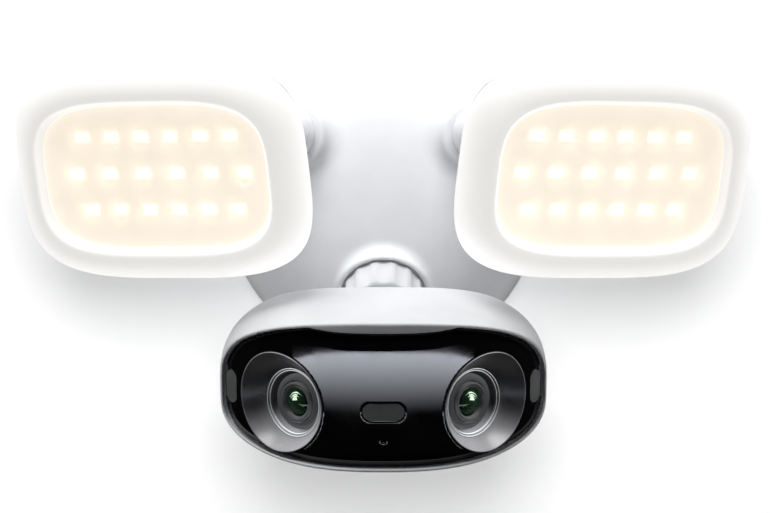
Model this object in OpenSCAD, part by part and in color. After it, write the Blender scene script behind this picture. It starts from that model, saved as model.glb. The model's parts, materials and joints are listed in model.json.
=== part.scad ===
// Wall-mounted floodlight camera: a round base, two lamp heads on swivel arms
// and a two-lens camera head on a ball joint.
// Origin: centre of the base's back face, on the wall. +X right, -Y away from the wall, +Z up.

/* [Base] */
// Radius of the round base
base_r = 74; // [70:0.5:78]
// Height of the base dome over the wall
base_h = 54; // [50:0.5:56]
// Height of the straight rim band
rim_h = 7; // [6:0.5:8]
// Wall thickness of the moulded shells
wall = 2.6; // [2:0.1:3]

/* [Camera head] */
// Width of the camera head
head_w = 145; // [140:1:150]
// Height of the camera head
head_h = 68.5; // [66:0.5:70]
// Distance from the head's middle to its back
head_back = 31; // [29:0.5:33]
// Downward pitch of the camera head at rest
head_pitch = 18; // [12:1:24]
// Sideways turn of each lens away from straight ahead
lens_yaw = 40; // [36:1:44]
// Upward tilt of each lens in the head
lens_up = 5.5; // [4:0.5:8]
// Radius of each lens dish at its widest
dish_r = 25.6; // [25:0.2:26]

/* [Ball joint] */
// Radius of the ball
ball_r = 14; // [13.5:0.1:14]
// Angle of the joint's axis below the horizontal
collar_tilt = 35; // [30:1:40]
// Outer radius of the fluted lock collar
collar_r = 19; // [18.8:0.1:19.4]
// Number of flutes on the lock collar
flutes = 14; // [12:1:16]

/* [Lamps] */
// Width of a lamp
lamp_w = 138; // [134:1:142]
// Height of a lamp
lamp_h = 99; // [95:1:102]
// Outward turn of each lamp at rest
lamp_yaw = 20; // [15:1:25]
// Downward pitch of each lamp at rest
lamp_pitch = 18; // [15:1:22]
// Width of the window
window_w = 110; // [104:1:112]
// Height of the window
window_h = 70; // [66:1:72]
// Distance between light sources in the middle row
led_pitch = 16.1; // [15:0.1:16.5]
// Distance between rows of light sources
row_pitch = 16.8; // [15:0.1:17]

/* [Hidden] */
$fn = 96;
run_gap = 0.05;       // radial clearance of a turning fit
body_gap = 0.4;       // clearance between pieces that move past each other

white = [0.93, 0.93, 0.92];
black = [0.03, 0.03, 0.04];
steel = [0.62, 0.63, 0.65];
rubber = [0.12, 0.12, 0.13];
board = [0.05, 0.3, 0.16];

// Superellipse point: w and h are the full size, n the exponent at that angle
function ellipse_point(w, h, n, a) = [
    w / 2 * sign(cos(a)) * pow(abs(cos(a)), 2 / n),
    h / 2 * sign(sin(a)) * pow(abs(sin(a)), 2 / n)
];
function squircle(w, h, n, count) = [
    for (i = [0 : count - 1]) ellipse_point(w, h, n, 360 * (i + 0.5) / count)
];

// ---------- base: drawn with +z away from the wall ----------
bracket_r = 54;
box_screw_gap = 88.9;  // distance between the screws of a round junction box
box_slot_r = 2.4;
box_slot_l = 12;
bracket_t = 1.8;
tab_r = 68.2;
tab_angles = [90, 215, 325];
side_screw_z = 4.6;    // screws through the rim into two of the bracket's tabs
gasket_h = 2;
plate_z = 7.2;
plate_t = 2.4;
plate_r = 70.4;
seal_t = 1.2;
ledge_z = plate_z + plate_t + seal_t;
cavity_r = 65.5;
rim_cavity_r = 70.8;
dome_r = base_r - 1.2;
dome_screw_r = 57;
dome_screw_angles = [30, 150, 270];
dome_power = 2.3;
gland_r = 9;

function dome_points(r, h0, h1, n) = [
    for (i = [0 : n]) let (a = 90 * i / n) [
        r * pow(cos(a), 2 / dome_power),
        h0 + (h1 - h0) * pow(sin(a), 2 / dome_power)
    ]
];

module from_wall() {
    rotate([90, 0, 0]) children();
}

// ---------- camera ball joint: drawn with +z along the joint's axis ----------
joint_y = -45;
joint_z = -43.8;
ball_s = 11.5;         // distance of the ball's centre from the boss face
collar_l = 16;
neck_tube_r = 16.3;
neck_tube_l = 5;
seat_r = ball_r + 1.5;
seat_edge = 125;       // angle from the axis to the seat's edge
stud_r = 6.5;
ball_y = joint_y - ball_s * cos(collar_tilt);
ball_z = joint_z - ball_s * sin(collar_tilt);

module at_joint() {
    translate([0, joint_y, joint_z]) rotate([90 + collar_tilt, 0, 0]) children();
}

// ---------- camera head: drawn facing -y, origin at its middle ----------
ball_back = 61;        // ball centre behind the head's middle
ball_up = 9.6;         // ball centre above the head's middle
head_y = ball_y - ball_back * cos(head_pitch) + ball_up * sin(head_pitch);
head_z = ball_z - ball_back * sin(head_pitch) - ball_up * cos(head_pitch);
face_front = 29;
widest_drop = 5.4;
face_sweep = 32;
face_power = 2.4;
face_edge_x = 68;
face_t = 3;
face_half_w = head_w / 2 - wall - 0.1;
dish_floor = [39.1, -10.5, -8.6];  // centre of the ring round each dish's floor
dish_floor_r = 15.3;
dish_depth = 13.5;
dish_t = 1.2;
lens_r = 8.7;
lens_h = 3.2;
glass_r = 6.3;
barrel_r = 9.5;
barrel_l = 14;
barrel_top = -lens_h;
spot_w = 18.3;
spot_h = 7.8;
spot_z = -6.4;
ir_x = 67.4;
ir_z = -5.8;
ir_yaw = 47;
mic_z = -19.4;
cover_w = 26;
cover_d = 13;
cover_y = 3;
cover_z = -head_h / 2 + 1.4;
cover_t = 2;
cover_pin_r = 0.55;
cover_knuckle_r = 1.15;
cover_pin_y = cover_y + cover_d + 1.6;
cover_pin_z = cover_z + 0.55;
button_x = 26;
button_y = 14;
button_r = 3;
speaker_x = -30;
speaker_y = 12;

module at_head() {
    translate([0, head_y, head_z]) rotate([head_pitch, 0, 0]) children();
}
function face_y(x) = -face_front + face_sweep * pow(abs(x) / face_edge_x, face_power);
// Front outline: domed top and flatter bottom, widest a little below the middle
function head_outline(inset, count) = [
    for (i = [0 : count - 1]) let (
        a = 360 * (i + 0.5) / count,
        half_h = (a < 180 ? head_h / 2 + widest_drop : head_h / 2 - widest_drop) - inset
    ) ellipse_point(head_w - 2 * inset, 2 * half_h, a < 180 ? 2.45 : 3.9, a)
        - [0, widest_drop]
];
// Plan outline: swept front, rounded back
function head_plan(front, back, half_w) = concat(
    [for (i = [-16 : 16]) let (x = half_w * i / 16) [x, face_y(x) + front]],
    [for (i = [0 : 12]) let (a = 180 * i / 12) [
        half_w * sign(cos(a)) * pow(abs(cos(a)), 0.6),
        12 + (head_back - 12 - back) * pow(sin(a), 0.7)
    ]]
);
// Side outline: straight front, rounded top and bottom at the back
function head_side(inset) = concat(
    [[-face_front - 5, -head_h / 2 + inset], [-face_front - 5, head_h / 2 - inset]],
    [for (i = [0 : 10]) let (a = 90 - 180 * i / 10) [
        8 + (head_back - 8 - inset) * pow(abs(cos(a)), 0.6),
        (head_h / 2 - inset) * sign(sin(a)) * pow(abs(sin(a)), 0.4)
    ]]
);
module head_solid(inset, front) {
    intersection() {
        rotate([90, 0, 0]) linear_extrude(140, center = true)
            polygon(head_outline(inset, 64));
        linear_extrude(head_h + 10, center = true)
            polygon(head_plan(front, inset, head_w / 2 - inset));
        rotate([90, 0, 90]) linear_extrude(head_w + 10, center = true)
            polygon(head_side(inset));
    }
}
module at_lens(side) {
    translate([side * dish_floor[0], dish_floor[1], dish_floor[2]])
        rotate([90 - lens_up, 0, side * lens_yaw]) children();
}
module at_ir(side) {
    translate([side * ir_x, face_y(ir_x), ir_z])
        rotate([90, 0, side * ir_yaw]) children();
}
module pill(w, h, t) {
    hull_w = w - h;
    linear_extrude(t) union() {
        square([hull_w, h], center = true);
        for (s = [-1, 1]) translate([s * hull_w / 2, 0]) circle(h / 2);
    }
}

// ---------- lamps: drawn facing -y, left lamp; the right one is mirrored ----------
lamp_x = -97;
lamp_y = -101;
lamp_z = 12;
lamp_n = 3.6;
shell_depth = 17;
bezel_depth = 14;
window_y = -9.5;
window_t = 2;
pin_back = 26;         // tilt pin behind the lamp's middle
lug_r = 8.5;
lug_h = 14;
ear_t = 5;
pin_r = 3;
mouth = [-41, -50, 30];  // centre of the arm boss's mouth
boss_yaw = 20;
boss_r = 14.5;
boss_l = 34;
spigot_r = 9;
spigot_l = 17;
elbow_r = 13;
elbow_s = 10;            // elbow's centre in front of the mouth
elbow = mouth + elbow_s * [-sin(boss_yaw), -cos(boss_yaw), 0];
knuckle = [
    lamp_x + pin_back * sin(lamp_yaw) * cos(lamp_pitch),
    lamp_y + pin_back * cos(lamp_yaw) * cos(lamp_pitch),
    lamp_z + pin_back * sin(lamp_pitch)
];
arm_run = knuckle - elbow;
arm_len = norm(arm_run);
arm_yaw = atan2(arm_run[1], arm_run[0]);
arm_drop = acos(arm_run[2] / arm_len);

module at_lamp() {
    translate([lamp_x, lamp_y, lamp_z]) rotate([lamp_pitch, 0, -lamp_yaw]) children();
}
module at_boss() {
    translate(mouth) rotate([90, 0, -boss_yaw]) children();
}
module along_arm() {
    translate(elbow) rotate([0, arm_drop, arm_yaw]) children();
}
module lamp_plate(w, h, y) {
    translate([0, y, 0]) rotate([90, 0, 0]) linear_extrude(0.2)
        polygon(squircle(w, h, lamp_n, 56));
}
module mirrored(side) {
    if (side < 0) {
        children();
    } else {
        mirror([1, 0, 0]) children();
    }
}

// ================= base =================
module wall_gasket() {
    color(rubber) from_wall() difference() {
        cylinder(h = gasket_h, r = base_r - 0.6);
        translate([0, 0, -1]) cylinder(h = gasket_h + 2, r = base_r - 4.6);
    }
}

module wall_bracket() {
    color(steel) from_wall() difference() {
        union() {
            cylinder(h = bracket_t, r = bracket_r);
            for (a = tab_angles) rotate(a) {
                translate([40, -8, 0]) cube([tab_r - 40, 16, bracket_t]);
                translate([tab_r - bracket_t, -8, 0]) cube([bracket_t, 16, 6.4]);
            }
        }
        translate([0, 0, -1]) cylinder(h = 6, r = 15);
        for (s = [-1, 1]) translate([s * box_screw_gap / 2, 0, -1]) {
            translate([-box_slot_l / 2 + box_slot_r, -box_slot_r, 0])
                cube([box_slot_l - 2 * box_slot_r, 2 * box_slot_r, 6]);
            for (e = [-1, 1]) translate([e * (box_slot_l / 2 - box_slot_r), 0, 0])
                cylinder(h = 6, r = box_slot_r);
        }
        for (s = [-1, 1]) translate([0, s * 35, -1]) cylinder(h = 6, r = 2.4);
        for (a = [215, 325]) rotate(a) translate([tab_r - 4, 0, side_screw_z])
            rotate([0, 90, 0]) cylinder(h = 8, r = 1.3);
    }
}

module bracket_screws() {
    color(steel) from_wall() for (a = [215, 325]) rotate(a) translate([0, 0, side_screw_z]) {
        translate([base_r - 1.5, 0, 0]) rotate([0, 90, 0]) cylinder(h = 1.3, r = 2);
        translate([tab_r - 3.6, 0, 0]) rotate([0, 90, 0])
            cylinder(h = base_r - tab_r + 2.2, r = 1.25);
    }
}

module base_back_plate() {
    color(white * 0.9) from_wall() translate([0, 0, plate_z]) difference() {
        cylinder(h = plate_t, r = plate_r);
        translate([0, 0, -1]) cylinder(h = 5, r = gland_r);
        for (a = dome_screw_angles) rotate(a) translate([dome_screw_r, 0, -1])
            cylinder(h = 5, r = 1.8);
    }
}

module base_seal() {
    color(rubber) from_wall() translate([0, 0, plate_z + plate_t]) difference() {
        cylinder(h = seal_t, r = plate_r);
        translate([0, 0, -1]) cylinder(h = 4, r = cavity_r + 0.6);
    }
}

module base_screws() {
    color(steel) from_wall() for (a = dome_screw_angles)
        rotate(a) translate([dome_screw_r, 0, 0]) {
            translate([0, 0, plate_z - 1.4]) cylinder(h = 1.4, r = 2.8);
            translate([0, 0, plate_z - 0.2]) cylinder(h = 11, r = 1.45);
        }
}

module cable_gland() {
    color(rubber) from_wall() difference() {
        union() {
            translate([0, 0, plate_z - 2]) cylinder(h = 2, r = gland_r + 2.5);
            translate([0, 0, plate_z - 0.1]) cylinder(h = plate_t + 0.2, r = gland_r);
            translate([0, 0, plate_z + plate_t]) cylinder(h = 1.5, r = gland_r + 2);
        }
        cylinder(h = 30, r = 4.5);
    }
}

module power_board() {
    color(board) from_wall() translate([0, 0, 14]) difference() {
        cylinder(h = 1.6, r = 48);
        translate([0, -52, -1]) cube([60, 64, 4], center = true);
    }
}

module power_parts() {
    color("goldenrod") from_wall() translate([0, 0, 15.6]) {
        translate([-2, 12, 0]) cube([20, 17, 12]);
        translate([-22, 8, 0]) cylinder(h = 12, r = 6);
        translate([-22, 24, 0]) cylinder(h = 9, r = 5);
        translate([-16, -14, 0]) cube([8, 12, 6]);
        translate([22, -12, 0]) cube([12, 8, 8]);
    }
}

module terminal_block() {
    color("seagreen") from_wall() translate([-6, -15, 15.6]) difference() {
        cube([22, 11, 10]);
        for (i = [0 : 2]) translate([4 + i * 7, 5.5, 5]) cylinder(h = 8, r = 2);
    }
}

module wifi_antenna() {
    color(board * 0.8) from_wall() translate([-14, 40, 15.6]) cube([28, 6, 1]);
}

module dome_outside() {
    rotate_extrude() polygon(concat(
        [[0, gasket_h], [base_r, gasket_h], [base_r, rim_h]],
        dome_points(dome_r, rim_h, base_h, 14)
    ));
}

module dome_inside() {
    rotate_extrude() polygon(concat(
        [[0, ledge_z - 1], [cavity_r, ledge_z - 1]],
        dome_points(cavity_r, ledge_z, base_h - wall, 10)
    ));
}

module base_housing() {
    color(white) difference() {
        union() {
            difference() {
                union() {
                    from_wall() dome_outside();
                    for (side = [-1, 1]) mirrored(side) at_boss()
                        translate([0, 0, -boss_l])
                            cylinder(h = boss_l, r1 = boss_r + 3, r2 = boss_r);
                    at_joint() translate([0, 0, -24]) cylinder(h = 24, r1 = 30, r2 = 22.5);
                }
                from_wall() dome_inside();
                from_wall() translate([0, 0, -30]) cylinder(h = 30 + ledge_z, r = rim_cavity_r);
                translate([-base_r, -rim_h, -base_r]) cube([2 * base_r, 40, 2 * base_r]);
            }
            from_wall() difference() {
                translate([0, 0, gasket_h]) cylinder(h = ledge_z, r = base_r);
                translate([0, 0, -1]) cylinder(h = ledge_z + 1, r = rim_cavity_r);
                translate([0, 0, -1]) cylinder(h = 40, r = cavity_r);
                translate([0, 0, rim_h]) difference() {
                    cylinder(h = 20, r = base_r + 1);
                    cylinder(h = 20, r = dome_r);
                }
            }
            from_wall() for (a = dome_screw_angles)
                rotate(a) translate([dome_screw_r, 0, plate_z + plate_t])
                    cylinder(h = 24, r = 4);
            for (side = [-1, 1]) mirrored(side) at_boss()
                translate([0, 0, -spigot_l - 3]) cylinder(h = spigot_l, r = spigot_r + 4);
            at_joint() translate([0, 0, -8]) cylinder(h = 6, r = 20);
            at_joint() translate([0, 0, -6]) cylinder(h = 6 + neck_tube_l, r = neck_tube_r);
        }
        for (side = [-1, 1]) mirrored(side) at_boss() {
            translate([0, 0, -spigot_l - 1]) cylinder(h = spigot_l + 2, r = spigot_r + run_gap);
            translate([0, 0, -boss_l + 6]) cylinder(h = 20, r = 5.5);
        }
        at_joint() {
            translate([0, 0, -2]) difference() {
                cylinder(h = 8, r = collar_r + 0.9);
                translate([0, 0, -1]) cylinder(h = 10, r = neck_tube_r);
            }
            translate([0, 0, ball_s]) sphere(r = seat_r + 0.1);
            translate([0, 0, -14]) cylinder(h = 14, r = 5);
        }
        from_wall() for (a = dome_screw_angles)
            rotate(a) translate([dome_screw_r, 0, 0]) cylinder(h = 18.2, r = 1.5);
        from_wall() for (a = [215, 325]) rotate(a) translate([60, 0, side_screw_z])
            rotate([0, 90, 0]) cylinder(h = 20, r = 1.5);
        from_wall() for (a = [215, 325]) rotate(a) translate([base_r - 1.6, 0, side_screw_z])
            rotate([0, 90, 0]) cylinder(h = 4, r = 2.2);
    }
}

// ================= camera ball joint =================
module ball_seat() {
    color("gainsboro") at_joint() translate([0, 0, ball_s]) rotate_extrude() difference() {
        circle(seat_r);
        circle(ball_r + run_gap);
        translate([-20, seat_r * cos(seat_edge)]) square([40, 40]);
        translate([-36, -20]) square([40, 40]);
    }
}

module ball_stud() {
    color("lightgray") at_head() translate([0, ball_back, ball_up]) difference() {
        union() {
            sphere(r = ball_r);
            rotate([90, 0, 0]) cylinder(h = ball_back - head_back + 8, r = stud_r);
            rotate([90, 0, 0]) translate([0, 0, 14]) cylinder(h = 6, r1 = stud_r, r2 = 9.5);
            rotate([90, 0, 0]) translate([0, 0, 20])
                cylinder(h = ball_back - head_back - 20.6, r1 = 9.5, r2 = 11);
        }
        translate([0, 15, 0]) rotate([90, 0, 0]) cylinder(h = 90, r = 3);
    }
}

module lock_collar() {
    color(white) at_joint() difference() {
        translate([0, 0, -1]) cylinder(h = collar_l + 1, r = collar_r);
        for (i = [0 : flutes - 1]) rotate(360 * (i + 0.5) / flutes)
            translate([collar_r + 8.4, 0, -2]) cylinder(h = collar_l + 4, r = 9.4);
        translate([0, 0, -2]) cylinder(h = 2 + neck_tube_l + body_gap, r = neck_tube_r + run_gap);
        translate([0, 0, 4]) cylinder(h = ball_s - 4, r = seat_r + 0.3);
        translate([0, 0, ball_s]) sphere(r = ball_r + body_gap);
        translate([0, 0, ball_s]) cylinder(h = 10, r = 13.4);
    }
}

// ================= camera head =================
module head_shell() {
    color(white) at_head() difference() {
        union() {
            difference() {
                head_solid(0, 0);
                head_solid(wall, -8);
            }
            translate([0, head_back - 1, ball_up]) rotate([90, 0, 0])
                cylinder(h = 10, r = stud_r + 3.5);
        }
        translate([0, head_back + 5, ball_up]) rotate([90, 0, 0])
            cylinder(h = 30, r = stud_r + run_gap);
        for (side = [-1, 1]) at_ir(side) translate([0, 0, -8]) rotate(90) pill(15.4, 7, 20);
        translate([-cover_w / 2 - 0.4, cover_y - 0.4, cover_z - 10]) difference() {
            cube([cover_w + 0.8, cover_d + 4, 10 + cover_t + 1.2]);
            translate([-1, cover_d + 2, 10.55]) rotate([0, 90, 0])
                cylinder(h = cover_w + 3, r = cover_pin_r);
        }
        translate([button_x, button_y, -head_h / 2 - 1])
            cylinder(h = 8, r = button_r + run_gap + 0.05);
        for (i = [-3 : 3]) translate([speaker_x - 0.7 + i * 3, speaker_y - 7, -head_h / 2 - 1])
            cube([1.4, 14, 8]);
        for (x = [-50, 50]) for (z = [-14, 20]) translate([x, 10, z]) rotate([-90, 0, 0])
            cylinder(h = 24, r = 1.8);
    }
}

module face_block(front, back, inset) {
    intersection() {
        rotate([90, 0, 0]) linear_extrude(140, center = true)
            polygon(head_outline(inset, 64));
        linear_extrude(head_h + 10, center = true) polygon(concat(
            [for (i = [-16 : 16]) let (x = face_half_w * i / 16) [x, face_y(x) + front]],
            [for (i = [16 : -1 : -16]) let (x = face_half_w * i / 16) [x, face_y(x) + back]]
        ));
    }
}

module face_panel() {
    color(black) at_head() difference() {
        face_block(0.6, 0.6 + face_t, wall + 0.1);
        for (side = [-1, 1]) at_lens(side) dish_clearance(0.1);
        translate([0, -18, spot_z]) rotate([90, 0, 0]) pill(spot_w + 0.2, spot_h + 0.2, 20);
        for (side = [-1, 1]) at_ir(side) translate([0, 0, -8]) rotate(90) pill(15.2, 6.8, 20);
        translate([0, -18, mic_z]) rotate([90, 0, 0]) cylinder(h = 20, r = 0.9);
    }
}

module face_seal() {
    color(rubber) at_head() difference() {
        face_block(0.7 + face_t, 1.9 + face_t, wall + 0.1);
        face_block(-5, 20, wall + 2.2);
        for (side = [-1, 1]) at_lens(side) dish_clearance(0.3);
        for (side = [-1, 1]) at_ir(side) translate([0, 0, -20]) cylinder(h = 30, r = 9.7);
    }
}

// Room for a dish: its outer surface grown by gap, open towards the front
module dish_clearance(gap) {
    rotate_extrude() polygon([
        [0, -9], [dish_floor_r + dish_t + gap, -9], [dish_floor_r + dish_t + gap, -1.2],
        [20.1 + dish_t + gap, 4], [dish_r + dish_t + gap, dish_depth],
        [dish_r + dish_t + 2, dish_depth + 5], [0, dish_depth + 5]
    ]);
}

module lens_dish(side) {
    color([0.16, 0.16, 0.17]) at_head() difference() {
        intersection() {
            at_lens(side) rotate_extrude() polygon([
                [lens_r + 0.1, -1.6], [dish_floor_r, 0], [20.1, 4.5], [dish_r, dish_depth],
                [dish_r + dish_t, dish_depth], [20.1 + dish_t, 4], [dish_floor_r + dish_t, -1.2],
                [lens_r + 0.1, -1.6 - dish_t]
            ]);
            face_block(0.2, 30, wall + 0.2);
        }
        at_ir(side) translate([0, 0, -8]) rotate(90) pill(15.4, 7, 20);
    }
}

module lens_barrel(side) {
    color(black) at_head() at_lens(side) translate([0, 0, barrel_top - barrel_l])
        difference() {
            cylinder(h = barrel_l, r = barrel_r);
            translate([0, 0, -1]) cylinder(h = barrel_l + 2, r = barrel_r - 2);
        }
}

module lens_ring(side) {
    color([0.3, 0.31, 0.32]) at_head() at_lens(side) translate([0, 0, 0.2 - lens_h])
        difference() {
            cylinder(h = lens_h, r = lens_r);
            translate([0, 0, -1]) cylinder(h = 6, r = glass_r + 0.05);
        }
}

module lens_glass(side) {
    color([0.2, 0.35, 0.3]) at_head() at_lens(side) translate([0, 0, 0.3 - lens_h])
        intersection() {
            cylinder(h = 4, r = glass_r);
            translate([0, 0, 2.6 - 12]) sphere(r = 12);
        }
}

module sensor_boards() {
    color(board) at_head() for (side = [-1, 1])
        at_lens(side) translate([-9, -7, barrel_top - barrel_l - 1.8]) cube([18, 14, 1.4]);
}

module main_board() {
    color(board) at_head() {
        translate([-38, 17.5, -17]) cube([76, 1.6, 33]);
        translate([-10, 14.5, -7]) cube([14, 3, 14]);
        difference() {
            translate([-7.5, 14.5, -24]) cube([15, 3, 14]);
            translate([-5.7, 15.2, -27]) cube([11.4, 1.2, 15.2]);
        }
    }
}

module heat_spreader() {
    color("silver") at_head() translate([-12, 12.9, -9]) cube([18, 1.5, 18]);
}

module spotlight_window() {
    color([0.85, 0.88, 0.9, 0.4]) at_head() translate([0, -face_front + 2.4, spot_z])
        rotate([90, 0, 0]) pill(spot_w, spot_h, 1.6);
}

module spotlight_lamp() {
    color("silver") at_head() translate([0, -face_front + 7, spot_z]) rotate([90, 0, 0]) {
        translate([0, 0, -2.4]) pill(spot_w - 1, spot_h - 1, 2.4);
        translate([3.6, 0, 0]) cylinder(h = 2.6, r1 = 1.6, r2 = 3);
        translate([-3.6, 0, 0]) cylinder(h = 1.2, r = 1.7);
    }
}

module ir_window(side) {
    color([0.3, 0.3, 0.3, 0.5]) at_head() at_ir(side) translate([0, 0, -2.4])
        rotate(90) pill(15, 6.6, 1.6);
}

module ir_emitters() {
    color("tan") at_head() for (side = [-1, 1]) at_ir(side) {
        translate([-2.3, -6, -4.8]) cube([4.6, 12, 1]);
        for (s = [-1, 1]) translate([0, s * 3.3, -3.8]) cylinder(h = 1.2, r = 2.1);
    }
}

module speaker() {
    color("dimgray") at_head() translate([speaker_x, speaker_y, -30])
        cylinder(h = 5, r1 = 9, r2 = 7);
}

module microphone() {
    color("silver") at_head() translate([-2, -24.4, mic_z - 1.6]) cube([4, 1.2, 3.2]);
}

module card_cover() {
    color(white * 0.92) at_head() difference() {
        union() {
            translate([-cover_w / 2, cover_y, cover_z]) cube([cover_w, cover_d, cover_t]);
            for (s = [-1, 1]) translate([s * 8 - 3, cover_y + cover_d - 1, cover_z])
                cube([6, 2.6, cover_knuckle_r]);
            for (s = [-1, 1]) translate([s * 8 - 3, cover_pin_y, cover_pin_z])
                rotate([0, 90, 0]) cylinder(h = 6, r = cover_knuckle_r);
        }
        translate([-20, cover_pin_y, cover_pin_z]) rotate([0, 90, 0])
            cylinder(h = 40, r = cover_pin_r + run_gap);
    }
}

module memory_card() {
    color([0.1, 0.1, 0.1]) at_head() translate([-5.5, 15.35, -27]) cube([11, 0.9, 15]);
}

module reset_button() {
    color([0.3, 0.3, 0.32]) at_head() translate([button_x, button_y, 0]) {
        translate([0, 0, -head_h / 2 + 1.4]) cylinder(h = 4.6, r = button_r);
        translate([0, 0, -head_h / 2 + 6]) cylinder(h = 1, r = button_r + 1);
    }
}

module head_screws() {
    color(steel) at_head() for (x = [-50, 50]) for (z = [-14, 20])
        translate([x, 14, z]) rotate([-90, 0, 0]) cylinder(h = 7, r = 1.7);
}

// ================= lamps =================
module arm() {
    color(white) difference() {
        union() {
            at_boss() {
                translate([0, 0, -spigot_l]) cylinder(h = spigot_l + 2, r = spigot_r);
                difference() {
                    translate([0, 0, elbow_s]) sphere(r = elbow_r);
                    translate([-20, -20, body_gap - 20]) cube([40, 40, 20]);
                }
            }
            along_arm() rotate_extrude() polygon([
                [0, 2], [10.2, 2], [8.6, 16], [6.4, arm_len - 12],
                [6.4, arm_len - 4], [0, arm_len - 4]
            ]);
            at_lamp() translate([0, pin_back, -lug_h / 2]) cylinder(h = lug_h, r = lug_r);
        }
        at_boss() translate([0, 0, -spigot_l + 4]) rotate_extrude()
            translate([spigot_r, 0]) square([2.4, 2.4], center = true);
        at_boss() translate([0, 0, -spigot_l - 1]) cylinder(h = spigot_l + elbow_s, r = 3.2);
        along_arm() sphere(r = 4.5);
        along_arm() translate([0, 0, 2]) cylinder(h = arm_len - lug_r - 4, r = 3.2);
        at_lamp() translate([0, pin_back, -20]) cylinder(h = 40, r = pin_r + run_gap);
    }
}

module arm_seal() {
    color(rubber) at_boss() translate([0, 0, -spigot_l + 4]) rotate_extrude()
        translate([spigot_r - 0.6, 0]) square([1.2, 1.8], center = true);
}

module lamp_shell(grow) {
    hull() {
        lamp_plate(lamp_w - 2 + 2 * grow, lamp_h - 2 + 2 * grow, 0.2);
        lamp_plate(lamp_w - 10 + 2 * grow, lamp_h - 10 + 2 * grow, 7 + grow);
        lamp_plate(lamp_w - 34 + 2 * grow, lamp_h - 34 + 2 * grow, 14 + grow);
        lamp_plate(lamp_w - 66 + 2 * grow, lamp_h - 62 + 2 * grow, shell_depth + grow);
    }
}

module lamp_housing() {
    color(white) at_lamp() difference() {
        union() {
            difference() {
                lamp_shell(0);
                lamp_shell(-wall);
            }
            for (s = [-1, 1]) {
                translate([0, pin_back, s * (lug_h / 2 + body_gap + ear_t / 2)])
                    cylinder(h = ear_t, r = lug_r, center = true);
                translate([0, (pin_back + shell_depth) / 2 - 0.6,
                           s * (lug_h / 2 + body_gap + ear_t / 2)])
                    cube([2 * lug_r, pin_back - shell_depth + 1.2, ear_t], center = true);
            }
        }
        translate([0, pin_back, -20]) cylinder(h = 40, r = pin_r + 0.02);
    }
}

module lamp_bezel() {
    color(white) at_lamp() difference() {
        hull() {
            lamp_plate(lamp_w, lamp_h, 0);
            lamp_plate(lamp_w - 4, lamp_h - 4, -6);
            lamp_plate(lamp_w - 14, lamp_h - 14, -11);
            lamp_plate(lamp_w - 23, lamp_h - 24, -bezel_depth + 0.2);
        }
        translate([0, 5, 0]) rotate([90, 0, 0]) linear_extrude(30)
            polygon(squircle(window_w + 0.2, window_h + 0.2, lamp_n, 56));
        translate([0, 5, 0]) rotate([90, 0, 0]) linear_extrude(5 + 7.4)
            polygon(squircle(lamp_w - 16, lamp_h - 18, lamp_n, 56));
    }
}

module lamp_sheet(w, h, y, t) {
    translate([0, y + t, 0]) rotate([90, 0, 0]) linear_extrude(t)
        polygon(squircle(w, h, lamp_n, 56));
}

module lamp_window() {
    color([1, 0.96, 0.86, 0.6]) at_lamp() lamp_sheet(window_w, window_h, window_y, window_t);
}

module led_places(depth) {
    for (row = [-1 : 1]) for (i = [0 : 5])
        translate([(i - 2.5) * led_pitch * (row == 0 ? 1 : 0.875), depth, row * row_pitch])
            rotate([90, 0, 0]) children();
}

module lamp_reflector() {
    color([0.95, 0.93, 0.88]) at_lamp() difference() {
        lamp_sheet(lamp_w - 18, lamp_h - 20, -6.4, 3.4);
        led_places(-2.9) translate([0, 0, -0.2]) cylinder(h = 4, r1 = 4.4, r2 = 6.2);
        for (x = [-52, 52]) translate([x, 0, 0]) rotate([90, 0, 0]) cylinder(h = 5, r = 1.55);
    }
}

module led_board() {
    color([0.9, 0.9, 0.88]) at_lamp() difference() {
        lamp_sheet(lamp_w - 20, lamp_h - 22, -2.9, 1.6);
        for (x = [-52, 52]) translate([x, 5, 0]) rotate([90, 0, 0]) cylinder(h = 20, r = 1.7);
    }
}

module lamp_leds() {
    color([1, 0.85, 0.5]) at_lamp() led_places(-2.95)
        translate([0, 0, 0.5]) cube([6.4, 4.6, 1], center = true);
}

module lamp_pin() {
    color(steel) at_lamp() translate([0, pin_back, 0]) union() {
        cylinder(h = lug_h + 2 * ear_t + 2 * body_gap, r = pin_r, center = true);
        translate([0, 0, lug_h / 2 + body_gap + ear_t]) cylinder(h = 1.2, r = pin_r + 1.6);
    }
}

module lamp_screws() {
    color(steel) at_lamp() for (x = [-52, 52]) translate([x, -0.1, 0]) rotate([90, 0, 0]) {
        cylinder(h = 4.6, r = 1.5);
        cylinder(h = 1.2, r = 2.8);
    }
}

wall_gasket();
wall_bracket();
base_back_plate();
base_seal();
base_housing();
base_screws();
bracket_screws();
cable_gland();
power_board();
power_parts();
terminal_block();
wifi_antenna();
ball_seat();
ball_stud();
lock_collar();
head_shell();
face_panel();
face_seal();
lens_dish(-1);  // lens_dish_left
lens_dish(1);  // lens_dish_right
lens_barrel(-1);  // lens_barrel_left
lens_barrel(1);  // lens_barrel_right
lens_ring(-1);  // lens_ring_left
lens_ring(1);  // lens_ring_right
lens_glass(-1);  // lens_glass_left
lens_glass(1);  // lens_glass_right
sensor_boards();
main_board();
heat_spreader();
spotlight_window();
spotlight_lamp();
ir_window(-1);  // ir_window_left
ir_window(1);  // ir_window_right
ir_emitters();
speaker();
microphone();
card_cover();
memory_card();
reset_button();
head_screws();
mirrored(-1) arm();  // arm_left
mirrored(-1) arm_seal();  // arm_seal_left
mirrored(-1) lamp_housing();  // lamp_housing_left
mirrored(-1) lamp_bezel();  // lamp_bezel_left
mirrored(-1) lamp_window();  // lamp_window_left
mirrored(-1) lamp_reflector();  // lamp_reflector_left
mirrored(-1) led_board();  // led_board_left
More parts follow.
